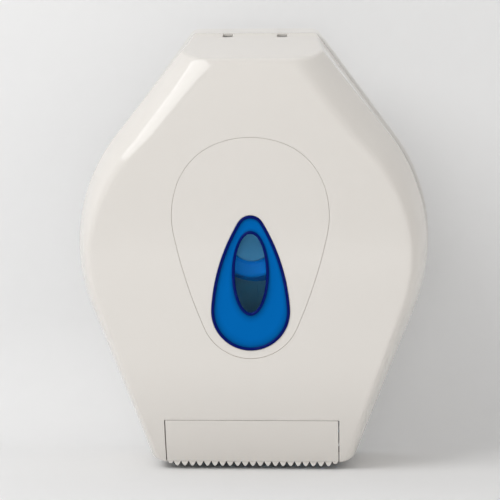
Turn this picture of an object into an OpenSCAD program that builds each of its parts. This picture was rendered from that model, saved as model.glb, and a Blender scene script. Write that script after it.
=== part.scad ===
// Jumbo toilet roll dispenser: wall plate, fixed spindle with a turning hub, sprung latch,
// and a hinged cover with a pear-shaped front panel, a teardrop sight window and a tear insert.
// +Z is up, the wall is the plane Y = 0 and the front faces -Y.
// The origin is the centre of the wall-screw pattern, on the wall.

/* [Casing] */
// Radius of the round sides at the main edge
side_r = 170; // [166:1:176]
// Growth of that radius from the main edge to the wall
side_flare = 1; // [0:0.5:3]
// Lean of the shoulders from the vertical at the main edge
shoulder_lean = 38.4; // [37:0.2:40]
// Lean of the shoulders from the vertical at the wall
rear_lean = 36.5; // [35.5:0.5:38]
// Lean of the lower sides from the vertical
skirt_lean = 21.7; // [20.5:0.2:23.5]
// Height of the top face over the axis at the main edge
top_h = 187; // [182:1:192]
// Fall of the top face towards the front
top_fall = 13; // [10:0.5:16]
// Drop of the lower edge below the axis
bottom_h = 214; // [211:1:218]
// Depth from the wall to the flat of the front
depth = 130; // [126:1:140]
// Depth of the main edge, where the sides turn into the front
edge_depth = 84; // [80:1:90]
// Wall of the cover
wall_t = 2.6; // [2.2:0.1:3]
// Radius of the lower corners
corner_r = 6; // [4.5:0.5:8]
// Radius along the top front edge
top_edge_r = 7; // [4:0.5:9]
// Height over the axis where the front starts to lean back
flat_top = 109; // [108:1:116]
// How far the front leans back at the top
lean_top = 12; // [6:1:16]
// Drop below the axis where the front starts to lean back
flat_bottom = 112; // [111:1:118]
// How far the front leans back at the lower edge
lean_bottom = 32; // [26:1:34]

/* [Rolled front edge] */
// Width of the roll on the shoulders
roll_shoulder = 32; // [26:1:36]
// Width of the roll at the sides
roll_side = 18; // [14:1:22]
// Width of the roll at the lower edge
roll_foot = 9; // [8:0.5:9.5]
// Turn of the surface at the main edge on the shoulders
turn_shoulder = 20; // [12:1:24]
// Turn of the surface at the main edge on the sides
turn_side = 8; // [4:1:12]

/* [Front panel] */
// Radius of the panel's head
panel_head_r = 75.4; // [72:0.2:77]
// Height of the head's centre
panel_head_z = 29.2; // [26:0.2:32]
// Radius of the panel's foot
panel_foot_r = 48.3; // [46:0.1:50]
// Height of the foot's centre
panel_foot_z = -59.2; // [-62:0.2:-57]
// Radius of the panel's flanks
panel_flank_r = 470; // [300:10:700]
// Squareness of the head
panel_square = 0.028; // [0:0.002:0.04]
// Parting gap round the panel
panel_gap = 0.35; // [0.3:0.05:0.6]

/* [Sight window] */
// Radius of the window's foot
window_foot_r = 37.7; // [35:0.1:39]
// Height of the foot's centre
window_foot_z = -62; // [-64:0.2:-60]
// Radius of the window's head
window_head_r = 13.4; // [12:0.1:15]
// Height of the head's centre
window_head_z = 16.8; // [14:0.2:19]
// Radius of the window's flanks
window_flank_r = 185; // [150:5:300]
// Thickness of the window
window_t = 2.4; // [2:0.1:2.6]
// Width of the raised rims
window_rim_w = 2.2; // [1.6:0.1:2.6]
// Height of the raised rims
window_rim_h = 1.2; // [0.6:0.1:1.6]
// Half the width of the clear ellipse
eye_w = 16.4; // [14:0.2:17]
// Half the height of the clear ellipse
eye_h = 39.4; // [34:0.2:40]
// Height of the ellipse's centre
eye_z = -25.4; // [-27:0.2:-24]
// Gap round the window
window_gap = 0.2; // [0.1:0.05:0.4]

/* [Tear insert] */
// Width of the casing's foot beside the insert
foot_w = 13.8; // [12:0.2:16]
// Height of the insert
insert_h = 44.6; // [40:0.2:48]
// Thickness of the insert
insert_t = 3; // [2.4:0.1:3.4]
// Gap at the insert's sides
insert_gap = 0.9; // [0.4:0.1:1]
// Number of teeth
teeth = 21; // [17:2:21]
// Plain edge at each end of the teeth
tooth_margin = 6.1; // [4:0.1:10]
// Length of a tooth
tooth_h = 5; // [3:0.1:5]
// Thickness of the teeth
tooth_t = 2; // [1.6:0.1:2.4]

/* [Back plate] */
// Thickness of the plate
plate_t = 3; // [2.6:0.1:3.4]
// Cut of the plate's rounded corners
plate_corner = 6; // [4:0.5:8]
// How far the plate's rim stands out past the cover
rim_out = 2.6; // [2:0.1:3]
// Depth of the rim
rim_depth = 8; // [7:0.5:9]
// Gap between the rim and the cover
cover_gap = 0.4; // [0.3:0.1:0.8]
// Distance between the wall screws across
screw_pitch_x = 130; // [120:1:136]
// Distance between the wall screws up the wall
screw_pitch_z = 150; // [140:1:156]
// Radius of the wall-screw holes
screw_hole_r = 3.2; // [2.6:0.1:3.4]

/* [Spindle and hub] */
// Height of the spindle over the axis of the casing
spindle_z = 5; // [2:0.5:7]
// Radius of the fixed spindle
spindle_r = 20; // [18:0.5:20.5]
// Reach of the spindle from the wall
spindle_len = 98; // [94:1:100]
// Wall of the spindle
spindle_wall = 3; // [2.5:0.1:4]
// Radius of the hub, which fits a 76 mm core
hub_r = 36.4; // [35.5:0.1:37]
// Radial clearance between hub and spindle
run_fit = 0.06; // [0.03:0.01:0.09]
// Radius of the hub's rear flange
hub_flange_r = 50; // [46:1:52]
// Number of ribs in the hub
hub_ribs = 6; // [4:1:8]

/* [Latch] */
// Distance between the key slots
key_pitch = 54.4; // [50:0.4:60]
// Width of a key slot
key_w = 10; // [8:0.5:11]
// Length of a key slot, front to back
key_l = 14; // [10:0.5:15]
// Depth from the wall to the middle of a key slot
key_depth = 18; // [17.5:0.5:19]
// Travel of the latch
latch_travel = 4; // [3:0.5:5]

/* [Hinge] */
// Radius of the hinge pins
pin_r = 2; // [1.8:0.1:2.4]
// Height of the hinge axis above the lower edge
hinge_rise = 9; // [8.5:0.5:10]
// Depth from the wall to the hinge axis
hinge_depth = 14.5; // [14:0.5:16]
// Radius of the hinge knuckles
knuckle_r = 6; // [5:0.5:6]

/* [Hidden] */
$fn = 64;
eps = 0.01;
// A length past every side of the part, for cuts that run right through.
far = 2 * side_r;

casing_white = "#eceae4";
inner_white = "#e4e3df";
window_blue = "#0b5fb4";
hub_blue = "#1263b0";
steel = "#b9bcc0";

top_slope = tan(top_fall);
cover_rear = rim_depth + cover_gap;
rear_top = top_h + top_slope * edge_depth;
front_in = depth - wall_t;
hinge_z = hinge_rise - bottom_h;
insert_top = bottom_h - insert_h;

// ---- casing outline -------------------------------------------------------------------

// Half the casing's width at height z: a circle of radius r, a tangent line up the shoulder
// and a tangent line down the skirt.
function half_w(z, r, lean) =
    z > r * sin(lean) ? (r - z * sin(lean)) / cos(lean)
    : z < -r * sin(skirt_lean) ? (r + z * sin(skirt_lean)) / cos(skirt_lean)
    : sqrt(r * r - z * z);

// Sideways part of the outline's normal at height z.
function side_share(z, r, lean) =
    z > r * sin(lean) ? cos(lean)
    : z < -r * sin(skirt_lean) ? cos(skirt_lean)
    : sqrt(1 - z * z / (r * r));

// What the rounded lower corner takes off the half width, h above the lower edge.
function corner_cut(h, r) = h >= r ? 0 : r - sqrt(r * r - pow(r - max(h, 0), 2));

// How far the front leans back at height z.
function lean_back(z) =
    z > flat_top ? lean_top * pow((z - flat_top) / (top_h - flat_top), 2)
    : z < -flat_bottom ? lean_bottom * pow((-z - flat_bottom) / (bottom_h - flat_bottom), 2)
    : 0;

function front_at(z) = depth - lean_back(z);
foot_half = half_w(-bottom_h, side_r, shoulder_lean);
insert_w = foot_half - foot_w;
exit_w = insert_w - 5;
lug_x = insert_w - 3;
function top_at(d) = top_h - top_slope * (d - edge_depth);

// The roll is steady down the sides to this height, and narrows by this much on the way.
narrow_z = -60;
narrow_by = 3;

// Width and starting turn of the rolled edge at height z.
function roll_at(z) = lookup(z, [[-bottom_h, roll_foot], [narrow_z, roll_side - narrow_by], [0, roll_side],
    [side_r * sin(shoulder_lean), roll_shoulder]]);
function turn_at(z) = lookup(z, [[narrow_z, turn_side], [0, turn_side + 1],
    [side_r * sin(shoulder_lean), turn_shoulder]]);

function quad_curve(a, b, c, t) = (1 - t) * (1 - t) * a + 2 * t * (1 - t) * b + t * t * c;

// Right half of a level slice through the casing, k inside its skin, from the rear edge
// over the main edge and the roll to the front.
roll_steps = 6;
// Least depth of the roll, and the most of its width that the starting turn may take.
roll_depth = 6;
turn_part = 0.6;
function slice_half(z, k, rear) =
    let(cut = corner_cut(z + bottom_h - k, max(corner_r - k, 0.5)),
        r = side_r - k,
        edge_x = half_w(z, r, shoulder_lean) - cut,
        rear_x = half_w(z, r + side_flare, rear_lean) - cut,
        front = front_at(z) - k,
        edge_d = min(edge_depth, front - roll_depth),
        share = side_share(z, r, shoulder_lean),
        roll = roll_at(z) / share,
        start = (front - edge_d) * tan(turn_at(z)) / share)
    concat([[rear_x, rear]], [for (i = [0:roll_steps])
        let(t = i / roll_steps)
        [edge_x - quad_curve(0, min(start, roll * turn_part), roll, t), quad_curve(edge_d, front, front, t)]]);

function slice(z, k, rear) =
    let(half = slice_half(z, k, rear), n = len(half))
    concat([for (p = half) [p[0], -p[1], z]], [for (i = [n - 1:-1:0]) [-half[i][0], -half[i][1], z]]);

// Heights of the slices, closer together where the outline bends.
function slice_heights(k) =
    let(foot = -bottom_h + k, r = side_r - k, low = -r * sin(skirt_lean), high = r * sin(shoulder_lean),
        rim = max(corner_r - k, 0.5))
    concat([for (a = [0:22.5:67.5]) foot + rim * (1 - cos(a))],
        [for (i = [0:5]) foot + rim + i * (-flat_bottom - foot - rim) / 5],
        [-(flat_bottom - low) / 2],
        [for (i = [0:12]) r * sin(-skirt_lean + i * (skirt_lean + shoulder_lean) / 12)],
        [for (i = [1:8]) high + i * (rear_top + 3 - high) / 8]);

// A closed solid lofted through the slices.
module casing_block(k, rear) {
    heights = slice_heights(k);
    rings = [for (z = heights) slice(z, k, rear)];
    m = len(rings[0]);
    n = len(rings);
    points = [for (ring = rings) each ring];
    sides = [for (i = [0:n - 2], j = [0:m - 1])
        let(a = i * m + j, b = i * m + (j + 1) % m)
        each [[a, b, b + m], [a, b + m, a + m]]];
    foot = [[for (j = [m - 1:-1:0]) j]];
    head = [[for (j = [0:m - 1]) (n - 1) * m + j]];
    polyhedron(points, concat(sides, foot, head));
}

// Where the top face meets the front, k inside the skin, found by a few repeats.
function crest_z(k, n) = n == 0 ? top_at(depth) - k : top_at(front_at(crest_z(k, n - 1)) - k) - k / cos(top_fall);

// Everything below the sloped top face, with its rounded front edge, as a side profile.
module under_top(k) {
    z = crest_z(k, 4);
    d = front_at(z) - k;
    r = top_edge_r - k / 2;
    behind = [-(d - r * cos(top_fall)), z + r * sin(top_fall)];
    below = [-(front_at(z - r) - k), z - r];
    edge = [for (t = [0:0.2:1]) [quad_curve(behind[0], -d, below[0], t), quad_curve(behind[1], z, below[1], t)]];
    rotate([90, 0, 90])
    translate([0, 0, -far])
    linear_extrude(2 * far)
    polygon(concat([[50, top_at(-50) - k / cos(top_fall)]], edge, [[-far, below[1]], [-far, -far], [50, -far]]));
}

module casing_solid(k, rear) {
    intersection() {
        casing_block(k, rear);
        under_top(k);
    }
}

// ---- egg-shaped outlines ----------------------------------------------------------------

// Outline of two circles, one over the other, joined by flanks of a large radius.
// grow moves it outwards, square swells the head's upper corners.
function egg(z1, r1, z2, r2, flank, grow = 0, square = 0, steps = 16) =
    let(s = z1 > z2 ? 1 : -1, d = abs(z1 - z2), a = flank - r1, b = flank - r2,
        t = (a * a - b * b + d * d) / (2 * d), h = sqrt(a * a - t * t),
        cx = -h, cz = z1 - s * t,
        a1 = atan2(z1 - cz, -cx), a2 = atan2(z2 - cz, -cx),
        head = [for (i = [0:steps])
            let(q = s * 90 + i * (a1 - s * 90) / steps,
                swell = q * s > 0 ? 1 + square * pow(sin(2 * q), 2) : 1)
            [(r1 * swell + grow) * cos(q), z1 + (r1 * swell + grow) * sin(q)]],
        side = [for (i = [1:steps / 2])
            let(q = a1 + i * (a2 - a1) / (steps / 2)) [cx + (flank + grow) * cos(q), cz + (flank + grow) * sin(q)]],
        tail = [for (i = [1:steps])
            let(q = a2 + i * (-s * 90 - a2) / steps) [(r2 + grow) * cos(q), z2 + (r2 + grow) * sin(q)]],
        right = concat(head, side, tail), n = len(right))
    concat(right, [for (i = [n - 2:-1:1]) [-right[i][0], right[i][1]]]);

function panel_line(grow) =
    egg(panel_head_z, panel_head_r, panel_foot_z, panel_foot_r, panel_flank_r, grow, panel_square, 24);
function window_line(grow) =
    egg(window_foot_z, window_foot_r, window_head_z, window_head_r, window_flank_r, grow, 0, 20);
function eye_line(grow) =
    [for (a = [0:7.5:352.5]) [(eye_w + grow) * cos(a), eye_z + (eye_h + grow) * sin(a)]];

// A prism of a front-view outline, from depth d0 to depth d1.
module front_prism(outline, d0, d1) {
    translate([0, -d0, 0])
    rotate([90, 0, 0])
    linear_extrude(d1 - d0)
    polygon(outline);
}

// A cylinder along the depth, from depth d0 to depth d1.
module depth_rod(r, d0, d1, sides = $fn) {
    translate([0, -d0, 0])
    rotate([90, 0, 0])
    cylinder(r = r, h = d1 - d0, $fn = sides);
}

module depth_box(x0, x1, d0, d1, z0, z1) {
    translate([x0, -d1, z0])
    cube([x1 - x0, d1 - d0, z1 - z0]);
}

module both_sides() {
    children();
    mirror([1, 0, 0]) children();
}

// ---- back plate -------------------------------------------------------------------------

plate_foot = -(bottom_h - 8);
plate_r = side_r + side_flare + rim_out;

// A corner eased by a short curve, which starts and ends a stated way from it.
function eased(before, corner, after, cut) =
    let(u = (before - corner) / norm(before - corner), v = (after - corner) / norm(after - corner))
    [for (t = [0:0.25:1]) quad_curve(corner + cut * u, corner, corner + cut * v, t)];

// Outline of the plate, k inside its edge.
function plate_line(k) =
    let(r = plate_r - k, top = rear_top + rim_out - k, foot = plate_foot + k,
        round_side = [for (i = [0:20])
            let(q = -skirt_lean + i * (skirt_lean + rear_lean) / 20) [r * cos(q), r * sin(q)]],
        right = concat(
            eased([0, foot], [half_w(foot, r, rear_lean), foot], round_side[0], max(plate_corner - k / 2, 1)),
            round_side,
            eased(round_side[20], [half_w(top, r, rear_lean), top], [0, top], max(plate_corner - k / 2, 1))),
        n = len(right))
    concat(right, [for (i = [n - 1:-1:0]) [-right[i][0], right[i][1]]]);

boss_d = plate_t + 3;
boss_r = 46;
lip_depth = 14;
lip_in = rim_out + wall_t + 1.4;
lip_t = 2.4;
lip_top = top_h - 9;
lip_foot = 39 - bottom_h;
rim_foot = 26 - bottom_h;
rib_foot = 44 - bottom_h;
rib_head = top_h - 47;
rib_ring_r = 100;
rib_depth = plate_t + 5;
rib_t = 2;
lug_w = 6;
knuckle_gap = 0.5;
slide_depth = plate_t + 0.3;
screw_boss_r = 9;
pin_hole_r = pin_r + 0.02;
post_x = 46;
post_r = 4;
post_pilot_r = 1.3;
post_pilot_l = 10;
shelf_half = 7;
guide_t = 2;
stop_gap = 0.2;
housing_back = key_depth + 6.5;
housing_t = 2.4;
housing_head = top_h - 3;
housing_foot = housing_head - 32;
spring_foot = housing_foot - 2;
spring_shelf = 4;

module plate_ring(k0, k1, d0, d1) {
    difference() {
        front_prism(plate_line(k0), d0, d1);
        front_prism(plate_line(k1), d0 - 1, d1 + 1);
    }
}

module wall_screw_places() {
    for (x = [-1, 1], z = [-1, 1])
        translate([x * screw_pitch_x / 2, 0, z * screw_pitch_z / 2])
        children();
}

// The four screws that hold the latch's housing.
module housing_screw_places() {
    both_sides()
    for (z = [housing_foot + post_r + 1, housing_head - post_r - 1])
        translate([post_x, 0, z])
        children();
}

// Guides of the latch, the springs' shelf and the screw posts.
module latch_mounts() {
    both_sides() {
        depth_box(key_pitch / 2 - shelf_half, key_pitch / 2 + shelf_half, plate_t - eps, key_depth + coil_r + 1,
            spring_foot - spring_shelf, spring_foot);
        depth_box(bar_x + guide_gap, bar_x + guide_gap + guide_t, plate_t - eps, housing_back, housing_foot,
            housing_head);
        depth_box(bar_x - guide_t, bar_x + guide_gap + eps, plate_t - eps, housing_back, bar_head + stop_gap,
            bar_head + stop_gap + guide_t);
    }
    housing_screw_places()
    difference() {
        depth_rod(post_r, plate_t - eps, housing_back, 32);
        depth_rod(post_pilot_r, housing_back - post_pilot_l, housing_back + 1, 24);
    }
}

module hinge_lugs() {
    both_sides()
    translate([lug_x, 0, 0])
    difference() {
        union() {
            translate([0, -hinge_depth, hinge_z])
            rotate([0, 90, 0])
            cylinder(r = knuckle_r, h = lug_w);
            depth_box(0, lug_w, plate_t - eps, hinge_depth, hinge_z - knuckle_r + 1, hinge_z + knuckle_r);
        }
        translate([-1, -hinge_depth, hinge_z])
        rotate([0, 90, 0])
        cylinder(r = pin_hole_r, h = lug_w + 2);
    }
}

module plate_ribs() {
    intersection() {
        union() {
            for (a = [0:30:150])
                translate([0, 0, spindle_z])
                rotate([0, a, 0])
                depth_box(-far, far, plate_t - eps, rib_depth, -rib_t / 2, rib_t / 2);
            translate([0, 0, spindle_z])
            difference() {
                depth_rod(rib_ring_r + rib_t, plate_t - eps, rib_depth, 96);
                depth_rod(rib_ring_r, 0, rib_depth + 1, 96);
            }
        }
        front_prism(plate_line(lip_in + lip_t / 2), 0, rib_depth);
        difference() {
            depth_box(-far, far, 0, rib_depth, rib_foot, rib_head);
            translate([0, 0, spindle_z])
            depth_rod(boss_r, boss_d, rib_depth + 1);
        }
    }
}

module back_plate() {
    color(casing_white)
    difference() {
        union() {
            front_prism(plate_line(0), 0, plate_t);
            intersection() {
                plate_ring(0, rim_out + wall_t - 0.6, 0, rim_depth);
                depth_box(-far, far, -1, rim_depth, rim_foot, far);
            }
            intersection() {
                plate_ring(lip_in, lip_in + lip_t, plate_t - eps, lip_depth);
                depth_box(-far, far, 0, lip_depth, lip_foot, lip_top);
            }
            plate_ribs();
            translate([0, 0, spindle_z])
            depth_rod(boss_r, plate_t - eps, boss_d);
            wall_screw_places() depth_rod(screw_boss_r, plate_t - eps, rib_depth, 40);
            latch_mounts();
            hinge_lugs();
        }
        wall_screw_places() depth_rod(screw_hole_r, -1, rib_depth + 1, 40);
        translate([0, 0, spindle_z])
        spindle_screw_places() depth_rod(pilot_r, plate_t / 2, boss_d + 1, 24);
    }
}

// ---- spindle and hub --------------------------------------------------------------------

flange_t = 4;
flange_r = 42;
flange_screws_r = 34;
washer_t = 1.5;
washer_r = 29;
washer_play = 0.3;
hub_back = boss_d + flange_t + washer_t + washer_play;
hub_foot_r = 28;
hub_foot_t = 2.6;
hub_groove_r = 31;
hub_flange_t = 3;
sleeve_r = 23.5;
hub_wall = 2.4;
hub_front = spindle_len - 1;
cap_t = 3;
cap_r = 21.6;
cap_recess = 1.4;
// Shank radius of the larger screws, the bore they cut into and the hole they pass through.
screw_r = 1.55;
pilot_r = 1.6;
passing_r = 2.2;
spindle_screw_l = 8;
cap_screw_l = 4.5;

module spindle_screw_places() {
    for (a = [45:90:315])
        translate([flange_screws_r * cos(a), 0, flange_screws_r * sin(a)])
        children();
}

module spindle() {
    color(inner_white)
    translate([0, 0, spindle_z])
    difference() {
        union() {
            depth_rod(flange_r, boss_d, boss_d + flange_t);
            depth_rod(spindle_r, boss_d, spindle_len, 96);
        }
        depth_rod(spindle_r - spindle_wall, boss_d - 1, spindle_len - 4);
        depth_rod(pilot_r, spindle_len - 5, spindle_len + 1, 24);
        spindle_screw_places() depth_rod(passing_r, boss_d - 1, boss_d + flange_t + 1, 24);
    }
}

// A pan-head screw along the depth, its head's seat at depth d.
module pan_screw(shank_r, shank_l, d) {
    head_r = 2.3 * shank_r;
    head_h = 0.9 * shank_r;
    rotate([90, 0, 0])
    translate([0, 0, d])
    rotate_extrude($fn = 32)
    polygon([[0, -shank_l], [shank_r * 0.5, -shank_l], [shank_r, -shank_l + shank_r], [shank_r, 0], [head_r, 0],
        [head_r, head_h * 0.5], [head_r * 0.7, head_h * 0.9], [head_r * 0.35, head_h], [head_r * 0.35, head_h * 0.5],
        [0, head_h * 0.5]]);
}

module spindle_screws() {
    color(steel)
    translate([0, 0, spindle_z])
    spindle_screw_places()
    pan_screw(screw_r, spindle_screw_l, boss_d + flange_t + eps);
}

module thrust_washer() {
    color(steel)
    translate([0, 0, spindle_z])
    difference() {
        depth_rod(washer_r, boss_d + flange_t, boss_d + flange_t + washer_t);
        depth_rod(spindle_r + washer_play, boss_d, boss_d + flange_t + washer_t + 1, 96);
    }
}

module core_hub() {
    color(hub_blue)
    translate([0, 0, spindle_z])
    difference() {
        union() {
            rotate([90, 0, 0])
            rotate_extrude($fn = 96)
            polygon([[spindle_r + run_fit, hub_back], [hub_foot_r, hub_back], [hub_foot_r, hub_back + hub_foot_t],
                [hub_groove_r, hub_back + hub_foot_t], [hub_groove_r, hub_back + 2], [hub_flange_r, hub_back + 2],
                [hub_flange_r, hub_back + 2 + hub_flange_t], [hub_r, hub_back + 2 + hub_flange_t],
                [hub_r, hub_front - 4], [hub_r - hub_wall, hub_front - 4],
                [hub_r - hub_wall, hub_back + 6], [sleeve_r, hub_back + 6], [sleeve_r, hub_front],
                [spindle_r + run_fit, hub_front]]);
            for (i = [0:hub_ribs - 1])
                rotate([0, i * 360 / hub_ribs, 0]) {
                    depth_box(sleeve_r - 0.5, hub_r - hub_wall + 0.5, hub_back + 5.5, hub_front - 10, -1, 1);
                    depth_box(hub_r - 0.5, hub_r + 1, hub_back + 4.5, hub_front - 12, -1.5, 1.5);
                }
        }
    }
}

module hub_cap() {
    color(hub_blue)
    translate([0, 0, spindle_z])
    rotate([90, 0, 0])
    rotate_extrude($fn = 96)
    polygon([[sleeve_r + 0.2, hub_front - 3], [sleeve_r + 1.6, hub_front - 4], [hub_r - hub_wall - 2, hub_front - 4],
        [hub_r - hub_wall - 2, hub_front - 9], [hub_r - hub_wall - 0.1, hub_front - 9],
        [hub_r - hub_wall - 0.1, hub_front - 4], [hub_r + 1.4, hub_front - 4], [hub_r + 1.6, hub_front - 2.5],
        [hub_r + 0.6, hub_front - 1], [hub_r - 1, hub_front - 0.4], [sleeve_r + 1.2, hub_front - 0.4],
        [sleeve_r + 0.2, hub_front - 0.8]]);
}

module spindle_cap() {
    color(inner_white)
    translate([0, 0, spindle_z])
    rotate([90, 0, 0])
    rotate_extrude($fn = 96)
    polygon([[passing_r, spindle_len], [cap_r, spindle_len], [cap_r, spindle_len + cap_t - 1],
        [cap_r - 1, spindle_len + cap_t], [2 * passing_r, spindle_len + cap_t],
        [2 * passing_r, spindle_len + cap_recess], [passing_r, spindle_len + cap_recess]]);
}

module cap_screw() {
    color(steel)
    translate([0, 0, spindle_z])
    pan_screw(screw_r, cap_screw_l, spindle_len + cap_recess + eps);
}

// ---- latch ------------------------------------------------------------------------------

tongue_w = key_w - 1;
tongue_d0 = key_depth - key_l / 2 + 1.5;
tongue_d1 = key_depth + key_l / 2 - 1.5;
// The tongues stop 3 mm under the cover's top wall.
tongue_top = top_at(tongue_d1) - wall_t / cos(top_fall) - 3;
spring_l = 20;
spring_seat = 2;
bar_foot = spring_foot + spring_l - spring_seat;
bar_head = housing_head - latch_travel - 6;
bar_x = key_pitch / 2 + 12.2;
guide_gap = 0.3;
// The hooks beside the tongues stand in front of the cover's keepers.
hook_top = tongue_top - 2;
hook_x = bar_x - 2.4;
keeper_x = key_pitch / 2 + key_w / 2 + 1;
keeper_foot = hook_top - latch_travel + 1;

// The springs stand this far behind the key slots' middle, in square seats in the slide.
spring_set_back = 1;
seat_half = 6;

module latch_slide() {
    color(inner_white) {
        difference() {
            depth_box(-bar_x, bar_x, slide_depth, housing_back - guide_gap, bar_foot, bar_head);
            depth_box(-key_pitch / 2 + key_w - 1, key_pitch / 2 - key_w + 1, slide_depth + housing_t, housing_back,
                bar_foot - 1, bar_head - housing_t);
            translate([0, spring_set_back, 0])
            both_sides()
            depth_box(key_pitch / 2 - seat_half, key_pitch / 2 + seat_half, key_depth - seat_half + 1,
                key_depth + seat_half - 1, bar_foot - 1, bar_foot + spring_seat);
        }
        both_sides() {
            depth_box((key_pitch - tongue_w) / 2, (key_pitch + tongue_w) / 2, tongue_d0, tongue_d1, bar_head - eps,
                tongue_top);
            depth_box((key_pitch - tongue_w) / 2, hook_x, tongue_d0, tongue_d0 + 3, bar_head - eps, hook_top);
            translate([key_pitch / 2, spring_set_back - key_depth, bar_foot - 3])
            cylinder(r = coil_r / 2, h = 6, $fn = 24);
        }
    }
}

wire_r = 0.6;
coil_r = 4;
spring_turns = 6;
spring_rings = 12;
spring_sides = 6;

// A compression spring as one tube along a helix, with nearly flat end coils.
module spring(foot, head) {
    steps = spring_turns * spring_rings;
    rise = head - foot - 2 * wire_r;
    // Height along the spring: slow in the first and last turn, steady between them.
    function climb(t) = t < 1 ? 0.6 * t * wire_r * 2 : t > spring_turns - 1
        ? rise - 0.6 * (spring_turns - t) * wire_r * 2
        : 1.2 * wire_r + (rise - 2.4 * wire_r) * (t - 1) / (spring_turns - 2);
    points = [for (i = [0:steps], j = [0:spring_sides - 1])
        let(t = i / spring_rings, a = 360 * t, b = 360 * j / spring_sides)
        [(coil_r + wire_r * cos(b)) * cos(a), (coil_r + wire_r * cos(b)) * sin(a),
            foot + wire_r + climb(t) + wire_r * sin(b)]];
    sides = [for (i = [0:steps - 1], j = [0:spring_sides - 1])
        let(a = i * spring_sides + j, b = i * spring_sides + (j + 1) % spring_sides)
        each [[a, a + spring_sides, b + spring_sides], [a, b + spring_sides, b]]];
    ends = [[for (j = [0:spring_sides - 1]) j], [for (j = [spring_sides - 1:-1:0]) steps * spring_sides + j]];
    polyhedron(points, concat(sides, ends));
}

module latch_spring(side) {
    color(steel)
    translate([side * key_pitch / 2, spring_set_back - key_depth, 0])
    spring(spring_foot, bar_foot + spring_seat);
}

module latch_spring_left() {
    latch_spring(-1);
}

module latch_spring_right() {
    latch_spring(1);
}

// Shank radius of the smaller screws and the hole they pass through.
small_screw_r = 1.25;
small_passing_r = 1.7;
housing_screw_l = 9;

module latch_housing() {
    color(inner_white)
    difference() {
        depth_box(-post_x - post_r - 1, post_x + post_r + 1, housing_back, housing_back + housing_t, housing_foot,
            housing_head);
        housing_screw_places() depth_rod(small_passing_r, housing_back - 1, housing_back + housing_t + 1, 24);
    }
}

module latch_screws() {
    color(steel)
    housing_screw_places() pan_screw(small_screw_r, housing_screw_l, housing_back + housing_t + eps);
}

// ---- hinge ------------------------------------------------------------------------------

ear_x = lug_x + lug_w + knuckle_gap;
ear_w = 5;

pin_head_t = 1.6;

module hinge_pin() {
    color(steel)
    translate([lug_x - pin_head_t, -hinge_depth, hinge_z])
    rotate([0, 90, 0]) {
        cylinder(r = pin_r, h = pin_head_t + lug_w + knuckle_gap + ear_w);
        cylinder(r = pin_r + 1.2, h = pin_head_t);
    }
}

module hinge_pin_left() {
    mirror([1, 0, 0]) hinge_pin();
}

module hinge_pin_right() {
    hinge_pin();
}

// ---- cover ------------------------------------------------------------------------------

arm_l = 22;

// Ears that turn on the hinge pins, joined to the side walls.
module hinge_ears() {
    both_sides()
    difference() {
        intersection() {
            union() {
                translate([ear_x, -hinge_depth, hinge_z])
                rotate([0, 90, 0])
                cylinder(r = knuckle_r, h = ear_w);
                depth_box(ear_x, foot_half + 12, hinge_depth, hinge_depth + arm_l, hinge_z - knuckle_r + 1,
                    hinge_z + knuckle_r - 1);
                depth_box(ear_x, ear_x + ear_w, hinge_depth, hinge_depth + arm_l, hinge_z - knuckle_r + 1,
                    hinge_z + knuckle_r);
            }
            casing_solid(wall_t / 2, cover_rear - 8);
        }
        translate([ear_x - 1, -hinge_depth, hinge_z])
        rotate([0, 90, 0])
        cylinder(r = pin_r + run_fit, h = ear_w + 2);
    }
}

module key_slots() {
    both_sides()
    translate([(key_pitch - key_w) / 2, -key_depth - key_l / 2, top_at(key_depth) - 12])
    cube([key_w, key_l, 24]);
}

// Ribs under the top wall that the latch's hooks hold.
module keepers() {
    intersection() {
        both_sides()
        depth_box(keeper_x, hook_x, cover_rear + 1, tongue_d0 - 0.4, keeper_foot, rear_top);
        casing_solid(wall_t / 2, cover_rear - 8);
    }
}

// The insert's opening is cut from this depth to the front, and cheeks of this thickness line it.
cut_d = 60;
cheek_t = 2;

// Side cheeks that close the feet beside the insert.
module cheeks() {
    intersection() {
        both_sides()
        depth_box(insert_w + insert_gap, insert_w + insert_gap + cheek_t, cut_d, depth, -bottom_h, -insert_top + 4);
        casing_solid(wall_t / 2, cover_rear - 8);
    }
}

module insert_screw_places() {
    both_sides() {
        translate([insert_w / 4, 0, screw_z]) children();
        translate([insert_w * 3 / 4, 0, screw_z]) children();
    }
}

insert_post_r = 3.6;

// Posts behind the front that the insert's flange is screwed to.
module insert_posts() {
    difference() {
        insert_screw_places() depth_rod(insert_post_r, flange_d1, front_at(screw_z) - wall_t / 2, 32);
        insert_screw_places() depth_rod(small_screw_r + 0.15, flange_d1 - 1, front_at(screw_z) - wall_t - 0.4, 24);
    }
}

module cover_shell() {
    color(casing_white) {
        difference() {
            casing_solid(0, cover_rear);
            casing_solid(wall_t, cover_rear - 10);
            front_prism(panel_line(panel_gap), front_in - 5, depth + 5);
            depth_box(-insert_w - insert_gap, insert_w + insert_gap, cut_d, depth + 5, -bottom_h - 5, -insert_top);
            depth_box(-exit_w, exit_w, cover_rear - 10, edge_depth, -bottom_h - 5, -bottom_h + wall_t + 1);
            depth_box(-ear_x, ear_x, cover_rear - 10, hinge_depth + 12, -bottom_h - 5, -bottom_h + wall_t + 1);
            key_slots();
        }
        hinge_ears();
        keepers();
        cheeks();
        insert_posts();
    }
}

module front_panel() {
    color(casing_white)
    difference() {
        front_prism(panel_line(0), front_in, depth);
        front_prism(window_line(window_gap), front_in - 1, depth + 1);
        retainer_screw_places() depth_rod(pilot_r, front_in - 1, depth - 0.8, 24);
    }
}

// The window's flange laps behind the panel.
window_lap = 2;
lap_t = 1.4;

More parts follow.
